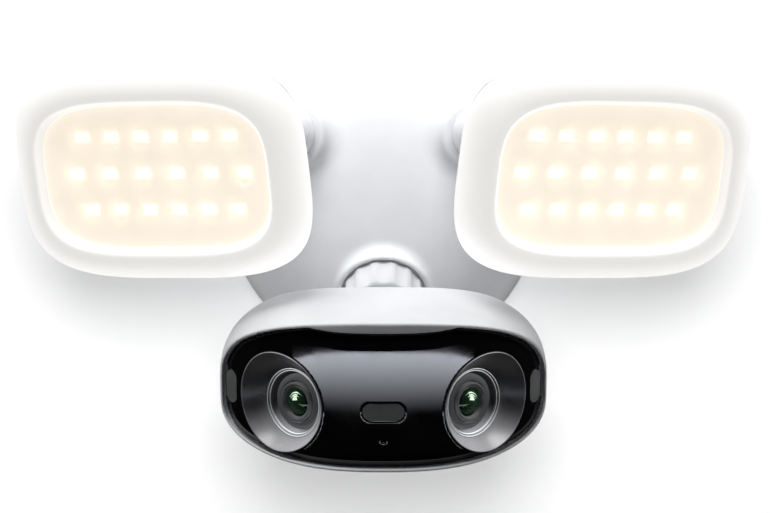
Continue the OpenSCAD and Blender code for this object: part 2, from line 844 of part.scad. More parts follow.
mirrored(-1) lamp_leds();  // lamp_leds_left
mirrored(-1) lamp_pin();  // lamp_pin_left
mirrored(-1) lamp_screws();  // lamp_screws_left
mirrored(1) arm();  // arm_right
mirrored(1) arm_seal();  // arm_seal_right
mirrored(1) lamp_housing();  // lamp_housing_right
mirrored(1) lamp_bezel();  // lamp_bezel_right
mirrored(1) lamp_window();  // lamp_window_right
mirrored(1) lamp_reflector();  // lamp_reflector_right
mirrored(1) led_board();  // led_board_right
mirrored(1) lamp_leds();  // lamp_leds_right
mirrored(1) lamp_pin();  // lamp_pin_right
mirrored(1) lamp_screws();  // lamp_screws_right
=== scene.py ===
import json
import math

import bmesh
import bpy
import numpy as np
from mathutils import Euler, Matrix, Vector


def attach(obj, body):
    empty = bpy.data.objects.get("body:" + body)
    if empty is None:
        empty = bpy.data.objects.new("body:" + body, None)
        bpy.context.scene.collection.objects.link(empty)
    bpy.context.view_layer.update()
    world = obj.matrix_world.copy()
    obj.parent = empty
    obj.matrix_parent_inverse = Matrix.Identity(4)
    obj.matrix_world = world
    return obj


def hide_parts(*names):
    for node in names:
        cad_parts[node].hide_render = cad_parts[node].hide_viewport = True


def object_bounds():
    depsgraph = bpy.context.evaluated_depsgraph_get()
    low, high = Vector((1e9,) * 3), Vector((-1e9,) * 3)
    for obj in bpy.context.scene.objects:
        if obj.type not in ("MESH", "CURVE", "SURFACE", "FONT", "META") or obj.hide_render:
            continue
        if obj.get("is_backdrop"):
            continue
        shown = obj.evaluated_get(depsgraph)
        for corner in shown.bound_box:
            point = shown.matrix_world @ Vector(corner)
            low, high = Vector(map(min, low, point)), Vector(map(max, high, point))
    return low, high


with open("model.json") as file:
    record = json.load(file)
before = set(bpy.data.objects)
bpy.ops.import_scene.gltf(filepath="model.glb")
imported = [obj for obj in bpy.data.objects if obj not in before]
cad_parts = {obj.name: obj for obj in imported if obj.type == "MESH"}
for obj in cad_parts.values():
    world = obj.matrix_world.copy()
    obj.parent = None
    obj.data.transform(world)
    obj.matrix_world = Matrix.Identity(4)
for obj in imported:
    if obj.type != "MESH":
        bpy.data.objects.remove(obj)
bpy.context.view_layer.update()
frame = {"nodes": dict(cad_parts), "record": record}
MM = 0.001
SIDES = {"left": -1, "right": 1}

# ---------------------------------------------------------------- sizes, in mm
GASKET_H = 2.0
BASE_R, DOME_R, BASE_H, RIM_H, DOME_POWER = 74.0, 72.8, 54.0, 7.0, 2.3
WALL = 2.6
BOSS_R, BOSS_L, SPIGOT_R, SPIGOT_L = 14.5, 34.0, 9.0, 17.0
ELBOW_R, ELBOW_S = 13.0, 10.0
MOUTH = Vector((-41, -50, 30))
BOSS_YAW = 20
COLLAR_R, COLLAR_L, FLUTES = 19.0, 16.0, 14
BALL_R, BALL_S = 14.0, 11.5
HEAD_W, HEAD_H = 145.0, 68.5
FACE_FRONT, FACE_SWEEP, FACE_POWER, FACE_EDGE_X = 29.0, 32.0, 2.4, 68.0
WIDEST_Z = -5.4
LIP = 1.4
BROW = 3.5
DISH_FLOOR, DISH_FLOOR_R, DISH_R, DISH_DEPTH = (39.1, -10.5, -8.6), 15.3, 25.6, 13.5
LENS_UP, LENS_YAW = 5.5, 40
IR_X, IR_Z, IR_YAW = 67.4, -5.8, 47
IR_L, IR_W = 15.2, 6.8
SPOT_L, SPOT_H, SPOT_Z = 18.5, 8.0, -6.4
MIC_R, MIC_Z = 0.9, -19.4
HEAD_PITCH = 18
LAMP_W, LAMP_H, LAMP_N = 138.0, 99.0, 3.6
RIM_DEPTH, BACK_DEPTH = 14.2, 17.0
PIN_BACK, LUG_R, LUG_H, EAR_T = 26.0, 8.5, 14.0, 5.0


def at(point=(0, 0, 0), turn=(0, 0, 0)):
    """A place in the row frame, in mm, turned about X, then Y, then Z by degrees."""
    angles = [math.radians(a) for a in turn]
    return Matrix.Translation(point) @ Euler(angles, "XYZ").to_matrix().to_4x4()


MIRROR = Matrix.Diagonal((-1, 1, 1, 1))
AT_JOINT = at((0, -45, -43.8), (125, 0, 0))
AT_HEAD = at((0, -109.47, -78.38), (HEAD_PITCH, 0, 0))
AT_LAMP = at((-97, -101, 12), (18, 0, -20))
AT_BOSS = at(MOUTH, (90, 0, -BOSS_YAW))
ELBOW = AT_BOSS @ Vector((0, 0, ELBOW_S))
KNUCKLE = AT_LAMP @ Vector((0, PIN_BACK, 0))


def for_side(side, place):
    """The left side's place, or its mirror image."""
    return place if side < 0 else MIRROR @ place


# ---------------------------------------------------------------- making meshes
def to_mm(place, points):
    """Points in the row frame from points in a place's own axes."""
    m = np.array(place)
    return points @ m[:3, :3].T + m[:3, 3]


def local(points, place):
    """Points in a place's own axes from points in the row frame."""
    m = np.array(place)
    return (points - m[:3, 3]) @ m[:3, :3]


def add_mesh(name, points, faces, body, slot, stands_for=()):
    """A smooth-shaded piece of the object from row-frame points in mm."""
    mesh = bpy.data.meshes.new(name)
    mesh.from_pydata((np.asarray(points) * MM).tolist(), [], faces)
    bm = bmesh.new()
    bm.from_mesh(mesh)
    bmesh.ops.remove_doubles(bm, verts=bm.verts, dist=1e-7)
    bmesh.ops.recalc_face_normals(bm, faces=bm.faces)
    bm.to_mesh(mesh)
    bm.free()
    mesh.polygons.foreach_set("use_smooth", [True] * len(mesh.polygons))
    piece = bpy.data.objects.new(name, mesh)
    bpy.context.collection.objects.link(piece)
    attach(piece, body)
    if stands_for:
        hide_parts(*stands_for)
    piece.data.materials.append(MATERIALS[slot])
    return piece


def soft_or(a, b, k):
    """Union of two distance fields with a fillet about k wide."""
    h = np.clip(0.5 + 0.5 * (b - a) / k, 0, 1)
    return b + (a - b) * h - k * h * (1 - h)


def soft_and(a, b, k):
    """Overlap of two distance fields with a rounded edge."""
    return -soft_or(-a, -b, k)


def soft_cut(a, b, k):
    """The first field with the second taken out of it."""
    return soft_and(a, -b, k)


def oval(u, v, half_u, half_v, power_u, power_v=None):
    """About the distance to a superellipse."""
    power_v = power_v or power_u
    u, v = np.abs(u) / half_u, np.abs(v) / half_v
    total = np.maximum(u**power_u + v**power_v, 1e-4)
    level = total ** (1 / power_u)
    slope = (
        total ** (1 / power_u - 1)
        * np.hypot(
            u ** (power_u - 1) / half_u,
            power_v / power_u * v ** (power_v - 1) / half_v,
        )
    )
    return (level - 1) / np.maximum(slope, 1e-5)


def skin(field, low, high, step):
    """Quads over the surface where field is 0, with every point moved onto it."""
    low = np.array(low, float)
    axes = [np.arange(low[i], high[i] + step, step) for i in range(3)]
    grid = np.stack(np.meshgrid(*axes, indexing="ij"), -1)
    value = field(grid)
    size = np.array(value.shape) - 1

    def corner(array, offset):
        return array[tuple(slice(o, o + n) for o, n in zip(offset, size))]

    inside = value < 0
    corners = [(i, j, k) for i in (0, 1) for j in (0, 1) for k in (0, 1)]
    count = sum(corner(inside, c).astype(int) for c in corners)
    active = (count > 0) & (count < 8)
    cells = np.argwhere(active)
    number = np.full(active.shape, -1)
    number[active] = np.arange(len(cells))
    total, hits = np.zeros((len(cells), 3)), np.zeros(len(cells))
    for axis in range(3):
        for start in [c for c in corners if c[axis] == 0]:
            end = list(start)
            end[axis] = 1
            a = corner(value, start)[active]
            b = corner(value, end)[active]
            crossed = (a < 0) != (b < 0)
            share = np.where(crossed, a / np.where(crossed, a - b, 1), 0)
            point = np.array(start, float) + np.outer(share, np.eye(3)[axis])
            total += point * crossed[:, None]
            hits += crossed
    points = low + step * (cells + total / hits[:, None])
    faces = []
    for axis in range(3):
        u, v = (axis + 1) % 3, (axis + 2) % 3
        here = [slice(1, -1)] * 3
        ahead = [slice(1, -1)] * 3
        here[axis], ahead[axis] = slice(0, -1), slice(1, None)
        a, b = inside[tuple(here)], inside[tuple(ahead)]
        for out, order in ((a & ~b, 1), (~a & b, -1)):
            spots = np.argwhere(out) + 1
            spots[:, axis] -= 1
            ring = []
            for du, dv in [(-1, -1), (0, -1), (0, 0), (-1, 0)][::order]:
                cell = spots.copy()
                cell[:, u] += du
                cell[:, v] += dv
                ring.append(number[tuple(cell.T)])
            faces += np.stack(ring, -1).tolist()
    for _ in range(4):
        level = field(points)
        slope = np.stack(
            [(field(points + e) - field(points - e)) / 0.1 for e in np.eye(3) * 0.05], -1
        )
        length = np.maximum((slope**2).sum(-1), 0.05)
        points -= np.clip(level / length, -step, step)[:, None] * slope
    return points, faces


def squircle(w, h, power, count):
    """Points round a superellipse of full width w and height h."""
    a = (np.arange(count) + 0.5) * 2 * math.pi / count
    c, s = np.cos(a), np.sin(a)
    return np.stack(
        [
            w / 2 * np.sign(c) * np.abs(c) ** (2 / power),
            h / 2 * np.sign(s) * np.abs(s) ** (2 / power),
        ],
        -1,
    )


def loft(rings, closed=False):
    """Quads between rings of equal count. Open ends are capped."""
    count = len(rings[0])
    points = np.concatenate(rings)
    faces = []
    pairs = list(zip(range(len(rings) - 1), range(1, len(rings))))
    if closed:
        pairs.append((len(rings) - 1, 0))
    for i, j in pairs:
        for k in range(count):
            n = (k + 1) % count
            faces.append((i * count + k, i * count + n, j * count + n, j * count + k))
    if not closed:
        faces.append(tuple(range(count)))
        faces.append(tuple(range(len(points) - count, len(points))))
    return points, faces


def turned(profile, count=96, closed=True, radius=None):
    """Rings from a profile of (radius, height), turned about z. radius may vary by angle."""
    a = np.arange(count) * 2 * math.pi / count
    rings = []
    for r, s in profile:
        rr = radius(a, r) if radius else np.full(count, r)
        rings.append(np.stack([rr * np.cos(a), rr * np.sin(a), np.full(count, s)], -1))
    return loft(rings, closed)


# ---------------------------------------------------------------- materials
def new_material(name):
    material = bpy.data.materials.new(name)
    material.use_nodes = True
    tree = material.node_tree
    return material, tree, tree.nodes["Principled BSDF"]


def add_noise(tree, scale, detail=3, rough=0.55, stretch=(1, 1, 1)):
    """A noise factor in the object's own coordinates, in metres."""
    where = tree.nodes.new("ShaderNodeTexCoord")
    mapping = tree.nodes.new("ShaderNodeMapping")
    mapping.inputs["Scale"].default_value = stretch
    noise = tree.nodes.new("ShaderNodeTexNoise")
    noise.inputs["Scale"].default_value = scale
    noise.inputs["Detail"].default_value = detail
    noise.inputs["Roughness"].default_value = rough
    tree.links.new(where.outputs["Object"], mapping.inputs["Vector"])
    tree.links.new(mapping.outputs["Vector"], noise.inputs["Vector"])
    return noise.outputs["Fac"]


def add_range(tree, factor, low, high):
    ranged = tree.nodes.new("ShaderNodeMapRange")
    ranged.inputs["From Min"].default_value = 0.3
    ranged.inputs["From Max"].default_value = 0.7
    ranged.inputs["To Min"].default_value = low
    ranged.inputs["To Max"].default_value = high
    tree.links.new(factor, ranged.inputs["Value"])
    return ranged.outputs["Result"]


def add_colours(tree, factor, low, high):
    ramp = tree.nodes.new("ShaderNodeValToRGB")
    ramp.color_ramp.elements[0].position = 0.35
    ramp.color_ramp.elements[1].position = 0.65
    ramp.color_ramp.elements[0].color = (*low, 1)
    ramp.color_ramp.elements[1].color = (*high, 1)
    tree.links.new(factor, ramp.inputs["Fac"])
    return ramp.outputs["Color"]


def moulded(name, low, high, rough, grain=0.0, grain_scale=2500, bands=0.02, **values):
    """A moulded, cast or pressed finish: mottled colour, uneven sheen, fine grain."""
    material, tree, shader = new_material(name)
    broad = add_noise(tree, 60)
    tree.links.new(add_colours(tree, broad, low, high), shader.inputs["Base Color"])
    fine = add_noise(tree, grain_scale, detail=2)
    tree.links.new(
        add_range(tree, broad, rough - bands, rough + bands), shader.inputs["Roughness"]
    )
    if grain:
        bump = tree.nodes.new("ShaderNodeBump")
        bump.inputs["Strength"].default_value = grain
        bump.inputs["Distance"].default_value = 0.0001
        tree.links.new(fine, bump.inputs["Height"])
        tree.links.new(bump.outputs["Normal"], shader.inputs["Normal"])
    for key, value in values.items():
        shader.inputs[key.replace("_", " ")].default_value = value
    return material


def glowing(name, low, high, rough, glow, strength, **values):
    material = moulded(name, low, high, rough, **values)
    shader = material.node_tree.nodes["Principled BSDF"]
    shader.inputs["Emission Color"].default_value = (*glow, 1)
    shader.inputs["Emission Strength"].default_value = strength
    return material


WHITE_LOW, WHITE_HIGH = (0.80, 0.81, 0.83), (0.83, 0.84, 0.86)
MATERIALS = {
    "white_shell": moulded(
        "white_shell", WHITE_LOW, WHITE_HIGH, 0.34, grain=0.05, grain_scale=1800
    ),
    "lamp_rim": glowing(
        "lamp_rim", (0.84, 0.84, 0.84), (0.87, 0.87, 0.86), 0.36,
        (1.0, 0.985, 0.955), 0.66, grain=0.04,
    ),
    "lamp_glow": glowing(
        "lamp_glow", (0.94, 0.91, 0.86), (0.96, 0.93, 0.89), 0.06,
        (1.0, 0.93, 0.83), 0.36, Transmission_Weight=0.35,
    ),
    "warm_led": glowing(
        "warm_led", (1, 0.86, 0.62), (1, 0.90, 0.68), 0.4, (1.0, 0.93, 0.80), 3.2
    ),
    "reflector": moulded("reflector", (0.88, 0.84, 0.76), (0.92, 0.88, 0.80), 0.4),
    "black_gloss": moulded(
        "black_gloss", (0.004, 0.004, 0.005), (0.006, 0.006, 0.007), 0.035,
        bands=0.01, grain=0.01, grain_scale=300,
    ),
    "dish_black": moulded(
        "dish_black", (0.055, 0.055, 0.058), (0.07, 0.07, 0.073), 0.33,
        grain=0.3, grain_scale=2600, Specular_IOR_Level=0.8,
    ),
    "lens_metal": moulded(
        "lens_metal", (0.19, 0.195, 0.20), (0.22, 0.225, 0.23), 0.34,
        Metallic=0.15, grain=0.05,
    ),
    "lens_glass": moulded(
        "lens_glass", (0.006, 0.016, 0.009), (0.012, 0.03, 0.016), 0.07, bands=0.01,
        Specular_Tint=(0.75, 1.0, 0.72, 1), Specular_IOR_Level=1.0,
    ),
    "clear_window": moulded(
        "clear_window", (0.26, 0.27, 0.27), (0.32, 0.33, 0.33), 0.08, bands=0.01,
        Transmission_Weight=0.4,
    ),
    "grey_plastic": moulded(
        "grey_plastic", (0.52, 0.53, 0.54), (0.58, 0.59, 0.60), 0.42, grain=0.1
    ),
    "black_plastic": moulded(
        "black_plastic", (0.010, 0.010, 0.011), (0.016, 0.016, 0.017), 0.4, grain=0.1
    ),
    "steel": moulded(
        "steel", (0.50, 0.51, 0.52), (0.60, 0.61, 0.62), 0.30, grain=0.15, Metallic=1.0
    ),
    "rubber": moulded(
        "rubber", (0.016, 0.016, 0.017), (0.024, 0.024, 0.026), 0.7, grain=0.4
    ),
    "circuit_board": moulded(
        "circuit_board", (0.01, 0.06, 0.03), (0.015, 0.09, 0.045), 0.35, grain=0.2
    ),
    "power_component": moulded(
        "power_component", (0.30, 0.20, 0.05), (0.38, 0.27, 0.08), 0.4, grain=0.2
    ),
    "connector_plastic": moulded(
        "connector_plastic", (0.05, 0.22, 0.10), (0.07, 0.28, 0.13), 0.4, grain=0.1
    ),
    "heat_metal": moulded(
        "heat_metal", (0.55, 0.55, 0.56), (0.65, 0.65, 0.66), 0.35, Metallic=1.0
    ),
    "emitter": moulded("emitter", (0.45, 0.38, 0.24), (0.60, 0.52, 0.36), 0.3),
}

# CAD nodes that stay: each takes the finish of its material slot.
for part in frame["record"]["subparts"]:
    shown = frame["nodes"][part["node"]]
    shown.data.materials.clear()
    shown.data.materials.append(MATERIALS[part["material_slot"]])
    shown.data.polygons.foreach_set("use_smooth", [True] * len(shown.data.polygons))
    shown.data.set_sharp_from_angle(angle=math.radians(35))


# ---------------------------------------------------------------- base
def neck_path(q):
    """Distance to the arm's neck, in the boss's axes, at either end of its dip."""
    start, end = Vector((0, 0, ELBOW_S)), AT_BOSS.inverted() @ KNUCKLE
    way = np.array(end - start)
    closest = np.full(q.shape[:-1], 1e3)
    for turn in (math.radians(-8.5), math.radians(8.5)):
        x = q[..., 0] * math.cos(turn) - q[..., 1] * math.sin(turn)
        y = q[..., 0] * math.sin(turn) + q[..., 1] * math.cos(turn)
        off = np.stack([x, y, q[..., 2] - ELBOW_S], -1)
        share = np.clip(off @ way / (way @ way), 0, 1)
        gap = np.linalg.norm(off - share[..., None] * way, axis=-1) - 10.4 + 4 * share
        closest = np.minimum(closest, gap)
    return closest


def base_field(p):
    out, r = -p[..., 1], np.hypot(p[..., 0], p[..., 2])
    dome = oval(r, np.maximum(out - RIM_H, 0), DOME_R, BASE_H - RIM_H, DOME_POWER)
    band = soft_and(r - BASE_R, out - RIM_H, 0.9)
    body = soft_or(dome, band, 0.8)
    for side in SIDES.values():
        q = local(p * (-side, 1, 1), AT_BOSS)
        away = np.hypot(q[..., 0], q[..., 1])
        cone = away - BOSS_R + 3 * q[..., 2] / BOSS_L
        body = soft_or(body, soft_and(cone, q[..., 2], 2.0), 9)
    q = local(p, AT_JOINT)
    away, s = np.hypot(q[..., 0], q[..., 1]), q[..., 2]
    cone = soft_and(away - 21.6 + 2.5 * s / 24, s, 1.8)
    body = soft_or(body, cone, 3.5)
    hollow = oval(r, np.maximum(out - 9.8, 0), DOME_R - 7.3, BASE_H - WALL - 9.8, DOME_POWER)
    step = np.maximum(r - 70.8, out - 10.8)
    body = soft_cut(body, np.minimum(hollow, step), 0.5)
    for side in SIDES.values():
        q2 = local(p * (-side, 1, 1), AT_BOSS)
        away2 = np.hypot(q2[..., 0], q2[..., 1])
        sleeve = np.maximum(away2 - SPIGOT_R - 4, np.abs(q2[..., 2] + 11.5) - 8.5)
        body = soft_or(body, sleeve, 0.6)
        bore = np.maximum(away2 - SPIGOT_R - 0.3, -SPIGOT_L - 1 - q2[..., 2])
        body = soft_cut(body, bore, 0.6)
        swept = np.minimum(neck_path(q2), np.hypot(away2, q2[..., 2] - ELBOW_S) - ELBOW_R)
        body = soft_cut(body, np.maximum(swept - 0.9, -q2[..., 2]), 0.8)
    floor = np.maximum(away - 20, np.abs(s + 5) - 3)
    body = soft_or(body, floor, 0.5)
    body = soft_cut(body, np.maximum(away - COLLAR_R - 0.6, -2 - s), 0.7)
    body = soft_or(body, np.maximum(away - 16.0, np.abs(s - 0.5) - 4.5), 0.5)
    seat = np.sqrt(away**2 + (s - BALL_S) ** 2) - BALL_R - 1.6
    body = soft_cut(body, seat, 0.4)
    return np.maximum(body, GASKET_H - out)


points, faces = skin(base_field, (-76, -82, -76), (76, 1, 76), 0.8)
add_mesh("base_dome", points, faces, "base", "white_shell", ["base_housing"])

# Small fluted lock collar; the flutes fade into the front chamfer.
def fluted(a, r):
    """Outer radius with concave flutes between narrow cusps."""
    if r < COLLAR_R - 2.6:
        return np.full(len(a), r)
    turn = np.mod(a * FLUTES / (2 * math.pi), 1) * 2 * math.pi / FLUTES - math.pi / FLUTES
    centre, flute_r = COLLAR_R + 8.4, 9.4
    wall = centre * np.cos(turn) - np.sqrt(flute_r**2 - (centre * np.sin(turn)) ** 2)
    return np.minimum(np.minimum(wall, COLLAR_R - 0.15), r)


collar_profile = [
    (16.35, -1), (18.6, -1), (COLLAR_R, -0.6), (COLLAR_R, 6), (COLLAR_R, COLLAR_L - 1.6),
    (COLLAR_R - 0.5, COLLAR_L - 0.8), (COLLAR_R - 1.4, COLLAR_L - 0.2),
    (COLLAR_R - 2.4, COLLAR_L), (14.2, COLLAR_L), (13.75, COLLAR_L - 0.3),
    (13.75, COLLAR_L - 1), (14.6, BALL_S + 1), (15.8, BALL_S), (15.8, 5.45), (16.35, 5.4),
]
points, faces = turned(collar_profile, count=FLUTES * 16, radius=fluted)
collar = add_mesh(
    "collar", to_mm(AT_JOINT, points), faces, "lock_collar", "white_shell", ["lock_collar"]
)
collar.data.set_sharp_from_angle(angle=math.radians(50))


# ---------------------------------------------------------------- arms
def arm_field(p):
    q = local(p, AT_BOSS)
    away, s = np.hypot(q[..., 0], q[..., 1]), q[..., 2]
    elbow = np.sqrt(away**2 + (s - ELBOW_S) ** 2) - ELBOW_R
    elbow = soft_and(elbow, 0.4 - s, 0.8)
    axis = KNUCKLE - ELBOW
    length = axis.length
    along = (p - np.array(ELBOW)) @ np.array(axis / length)
    off = np.linalg.norm(p - np.array(ELBOW), axis=-1)
    side = np.sqrt(np.maximum(off**2 - along**2, 0))
    taper = 10.4 - 4 * np.clip(along / (length - 12), 0, 1)
    neck = np.maximum(side - taper, np.maximum(-along, along - length + 4))
    k = local(p, AT_LAMP)
    from_pin = np.hypot(k[..., 0], k[..., 1] - PIN_BACK)
    lug = soft_and(from_pin - LUG_R, np.abs(k[..., 2]) - LUG_H / 2, 0.8)
    body = soft_or(soft_or(elbow, neck, 5), lug, 0.6)
    body = soft_cut(body, from_pin - 3.1, 0.5)
    spigot = np.maximum(away - SPIGOT_R, np.abs(s - 1 + SPIGOT_L / 2) - SPIGOT_L / 2 - 1)
    seal_groove = np.hypot(away - SPIGOT_R, s + SPIGOT_L - 4) - 1.3
    return np.minimum(body, np.maximum(spigot, -seal_groove))


points, faces = skin(arm_field, (-104, -94, 4), (-20, -28, 48), 0.7)
for name, side in SIDES.items():
    add_mesh(
        f"swivel_arm_{name}", points * (-side, 1, 1), faces, f"arm_{name}", "white_shell",
        [f"arm_{name}"],
    )


# ---------------------------------------------------------------- camera head
def face_y(x):
    return -FACE_FRONT + FACE_SWEEP * (np.abs(x) / FACE_EDGE_X) ** FACE_POWER


def face_slope(x):
    share = np.abs(x) / FACE_EDGE_X
    return FACE_SWEEP * FACE_POWER / FACE_EDGE_X * share ** (FACE_POWER - 1)


def face_gap(q, back):
    """Distance in front of the swept face surface, moved back."""
    x = q[..., 0]
    slope = face_slope(x)
    return (face_y(x) + back - q[..., 1]) / np.sqrt(1 + slope**2)


def outline_gap(q, inset):
    x, z = q[..., 0], q[..., 2] - WIDEST_Z
    half_w = HEAD_W / 2
    top = oval(x, z, half_w, HEAD_H / 2 - WIDEST_Z, 2.45)
    bottom = oval(x, z, half_w, HEAD_H / 2 + WIDEST_Z, 3.9)
    return np.where(z > 0, top, bottom) + inset


def head_block(q, inset, front):
    plan = oval(q[..., 0], np.maximum(q[..., 1] - 12, 0), HEAD_W / 2, 19.0, 3.3, 2.9)
    side = oval(np.maximum(q[..., 1] - 8, 0), q[..., 2], 23.0, HEAD_H / 2 + 1, 3.3, 5.0)
    rear = soft_and(plan, side, 3) + inset
    body = soft_and(rear, outline_gap(q, inset), 1.2)
    return soft_and(body, face_gap(q, front), 1.0)


def brow(x):
    """How much thicker the hood's lip is over the middle of the face."""
    return BROW / (1 + (np.abs(x) / 36) ** 6)


def shell_field(p):
    q = p
    outer = head_block(q, 0, 0)
    inner = head_block(q, WALL, -9)
    mouth = np.maximum(-face_gap(q, 4.6), q[..., 2] - HEAD_H / 2 + LIP - 0.12 + brow(q[..., 0]))
    inner = np.maximum(inner, np.minimum(mouth, face_gap(q, 4.6)))
    body = soft_cut(outer, inner, 0.6)
    seat = np.maximum(outline_gap(q, LIP), -face_gap(q, 4.6))
    seat = np.maximum(seat, q[..., 2] - HEAD_H / 2 + LIP - 0.12 + brow(q[..., 0]))
    body = soft_cut(body, seat, 0.5)
    from_stud = np.hypot(q[..., 0], q[..., 2] - 9.6)
    hub = np.maximum(from_stud - 10, np.abs(q[..., 1] - 25) - 5)
    body = soft_or(body, hub, 0.6)
    body = soft_cut(body, np.maximum(from_stud - 6.9, 19 - q[..., 1]), 0.5)
    hatch = np.maximum(np.abs(q[..., 0]) - 13.4, np.abs(q[..., 1] - 11) - 8.6)
    hatch = np.maximum(hatch, q[..., 2] + 27.5)
    body = soft_cut(body, hatch, 0.4)
    button = np.maximum(np.hypot(q[..., 0] - 26, q[..., 1] - 14) - 3.3, q[..., 2] + 25)
    body = soft_cut(body, button, 0.4)
    slot_x = np.abs(np.mod(q[..., 0] + 30 + 1.5, 3) - 1.5) - 0.7
    grille = np.maximum(slot_x, np.abs(q[..., 1] - 12) - 7)
    grille = np.maximum(grille, np.maximum(np.abs(q[..., 0] + 30) - 10.4, q[..., 2] + 25))
    return soft_cut(body, grille, 0.3)


points, faces = skin(shell_field, (-74, -32, -35), (74, 33, 35), 0.7)
add_mesh(
    "head_housing", to_mm(AT_HEAD, points), faces, "camera_head", "white_shell", ["head_shell"]
)


def lens_place(side):
    x, y, z = DISH_FLOOR
    return at((side * x, y, z), (90 - LENS_UP, 0, side * LENS_YAW))


def ir_place(side):
    return at((side * IR_X, face_y(IR_X), IR_Z), (90, 0, side * IR_YAW))


def dish_radius(s):
    """Radius of the lens dish's flared wall at a height above its floor."""
    share = np.clip(s / DISH_DEPTH, 0, 1.3)
    return DISH_FLOOR_R + (DISH_R - DISH_FLOOR_R) * share**0.69


def pill_gap(u, v, w, h):
    """Distance to a pill outline, w long and h wide."""
    return np.hypot(np.maximum(np.abs(u) - (w - h) / 2, 0), v) - h / 2


def panel_field(q):
    front = face_gap(q, 0.6)
    rim = np.maximum(outline_gap(q, LIP + 0.12), q[..., 2] - HEAD_H / 2 + LIP + brow(q[..., 0]))
    bevel = front * math.cos(math.radians(28)) + (rim + 5.0) * math.sin(math.radians(28))
    body = soft_and(soft_and(front, bevel, 1.0), rim, 0.6)
    body = np.maximum(body, -face_gap(q, 3.8))
    for side in SIDES.values():
        l = local(q, lens_place(side))
        mouth = np.hypot(l[..., 0], l[..., 1]) - dish_radius(l[..., 2]) - 0.1
        body = soft_cut(body, np.maximum(mouth, -l[..., 2] - 12), 0.4)
        w = local(q, ir_place(side))
        hole = np.maximum(pill_gap(w[..., 1], w[..., 0], IR_L, IR_W), -w[..., 2] - 8)
        body = soft_cut(body, hole, 0.4)
    spot = pill_gap(q[..., 0], q[..., 2] - SPOT_Z, SPOT_L, SPOT_H)
    spot = np.maximum(spot, q[..., 1] + 18)
    body = soft_cut(body, spot, 0.4)
    hole = np.hypot(q[..., 0], q[..., 2] - MIC_Z) - MIC_R
    return soft_cut(body, np.maximum(hole, q[..., 1] + 18), 0.3)


points, faces = skin(panel_field, (-72, -31, -34), (72, 14, 34), 0.6)
add_mesh(
    "front_panel", to_mm(AT_HEAD, points), faces, "camera_head", "black_gloss", ["face_panel"]
)


def rim_heights(place, count):
    """Height above the dish floor where the flared wall meets the face."""
    a = np.arange(count) * 2 * math.pi / count
    low, high = np.full(count, 0.0), np.full(count, 20.0)
    for _ in range(30):
        s = (low + high) / 2
        radius = dish_radius(s)
        spot = np.stack([radius * np.cos(a), radius * np.sin(a), s], -1)
        gap = face_gap(to_mm(place, spot), 0.6)
        low, high = np.where(gap < 0, s, low), np.where(gap < 0, high, s)
    return s


def dish_mesh(side, count=160):
    """The lens dish: a flared wall from the face edge down to two stepped rings."""
    place = lens_place(side)
    a = np.arange(count) * 2 * math.pi / count
    rim = rim_heights(place, count)
    mouth = dish_radius(rim)

    def ring(r, s):
        return np.stack([r * np.cos(a), r * np.sin(a), np.zeros(count) + s], -1)

    rings = [ring(mouth - 0.05, rim - 2.6), ring(mouth - 0.05, rim - 0.1)]
    rings += [ring(mouth - 0.12, rim + 0.28), ring(mouth - 0.35, rim + 0.34)]
    rings += [ring(mouth - 0.62, rim + 0.22), ring(mouth - 0.74, rim - 0.05)]
    for share in np.linspace(0.04, 0.97, 14):
        height = (rim - 0.3) * (1 - share) ** 1.4
        rings.append(ring(dish_radius(height) - 0.75, height))
    for r, s in [(13.7, -1.3), (13.6, -4.0), (12.5, -4.5), (9.1, -4.9), (15.0, -4.9), (16.2, -0.7)]:
        rings.append(ring(r, s))
    return loft(rings, closed=True)


# Radius and depth of the fine steps seen inside each lens.
LENS_ARCS = [(5.2, 0.10), (4.0, 0.14), (2.7, 0.12)]
for name, side in SIDES.items():
    place = AT_HEAD @ lens_place(side)
    points, faces = dish_mesh(side)
    add_mesh(
        f"dish_{name}", to_mm(place, points), faces, "camera_head", "dish_black",
        [f"lens_dish_{name}"],
    )
    lip_profile = [
        (15.35, -0.1), (15.3, 0.32), (15.1, 0.45), (14.85, 0.35), (14.65, -0.3), (14.5, -0.5),
        (14.3, -0.35), (14.1, -0.25), (13.9, -0.4), (13.8, -0.9), (13.75, -1.6), (15.0, -1.6),
    ]
    points, faces = turned(lip_profile)
    add_mesh(f"lens_lip_{name}", to_mm(place, points), faces, "camera_head", "lens_metal")
    sleeve_profile = [
        (12.4, -4.3), (12.3, -3.0), (12.1, -2.75), (9.7, -2.0), (9.4, -2.05), (9.2, -2.6),
        (9.2, -4.6),
    ]
    points, faces = turned(sleeve_profile)
    add_mesh(f"lens_sleeve_{name}", to_mm(place, points), faces, "camera_head", "lens_metal")
    ring_profile = [
        (6.5, -4.7), (8.9, -4.7), (8.9, -1.9), (8.7, -1.1), (8.3, -0.75), (7.9, -0.7),
        (7.3, -0.95), (6.8, -1.45), (6.6, -1.9), (6.5, -2.3),
    ]
    points, faces = turned(ring_profile)
    add_mesh(
        f"bezel_ring_{name}", to_mm(place, points), faces, "camera_head", "lens_metal",
        [f"lens_ring_{name}"],
    )
    dome = []
    for t in np.linspace(1.57, 0.02, 44):
        r = 6.45 * math.sin(t)
        groove = sum(depth * math.exp(-(((r - a) / 0.22) ** 2)) for a, depth in LENS_ARCS)
        dome.append((r, -4.6 + 3.7 * math.cos(t) - groove))
    points, faces = turned([(6.45, -4.7), *dome], closed=False)
    add_mesh(
        f"front_lens_{name}", to_mm(place, points), faces, "camera_head", "lens_glass",
        [f"lens_glass_{name}"],
    )


# ---------------------------------------------------------------- lamps
def lamp_ring(w, h, y, power=LAMP_N, count=176):
    flat = squircle(w, h, power, count)
    return np.stack([flat[:, 0], np.full(count, y), flat[:, 1]], -1)


